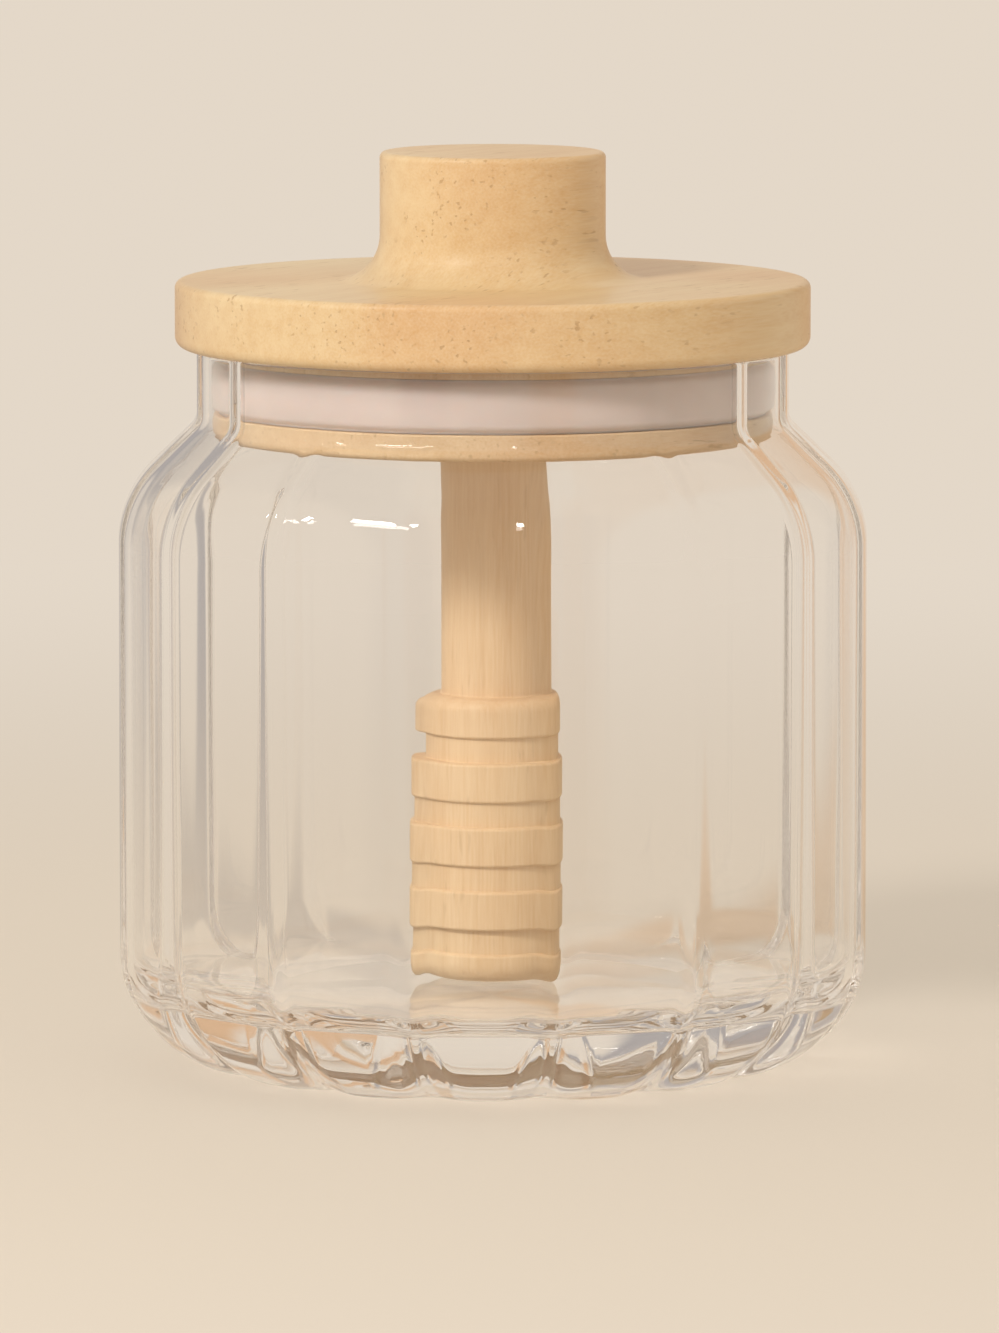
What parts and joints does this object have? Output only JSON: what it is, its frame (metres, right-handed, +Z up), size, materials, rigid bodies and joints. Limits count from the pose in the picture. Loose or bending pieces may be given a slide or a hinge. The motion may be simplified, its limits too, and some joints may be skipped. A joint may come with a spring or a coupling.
{
  "type": "honey dispenser",
  "caption": "Fluted glass honey jar with a round neck, closed by a turned wooden lid with a knob, a silicone ring and a dipper that hangs inside.",
  "frame": {"origin": "centre of the base, on the surface the jar stands on", "axes": "+Z up along the jar's axis, -Y the front"},
  "size_m": [0.1, 0.1, 0.1221],
  "materials": {
    "clear_glass": "clear pressed glass, fire polished",
    "lid_wood": "light hardwood, fine sanded, thin matt oil",
    "plug_wood": "light hardwood, fine sanded, thin matt oil",
    "silicone": "milky soft silicone",
    "dipper_wood": "light hardwood, sanded, bare",
    "zinc_steel": "bright zinc plate"
  },
  "bodies": {
    "jar": {"glass_jar": "clear_glass"},
    "seal": {"silicone_ring": "silicone"},
    "lid": {"lid": "lid_wood", "lid_plug": "plug_wood", "dipper": "dipper_wood", "dipper_screw": "zinc_steel"}
  },
  "joints": [
    {"name": "lid_lift", "type": "slide", "parent": "jar", "child": "seal", "axis": [0, 0, 1], "range_m": [0, 0.095]},
    {"name": "lid_turn", "type": "hinge", "parent": "seal", "child": "lid", "pos_m": [0, 0, 0.0915], "axis": [0, 0, 1], "continuous": true}
  ]
}
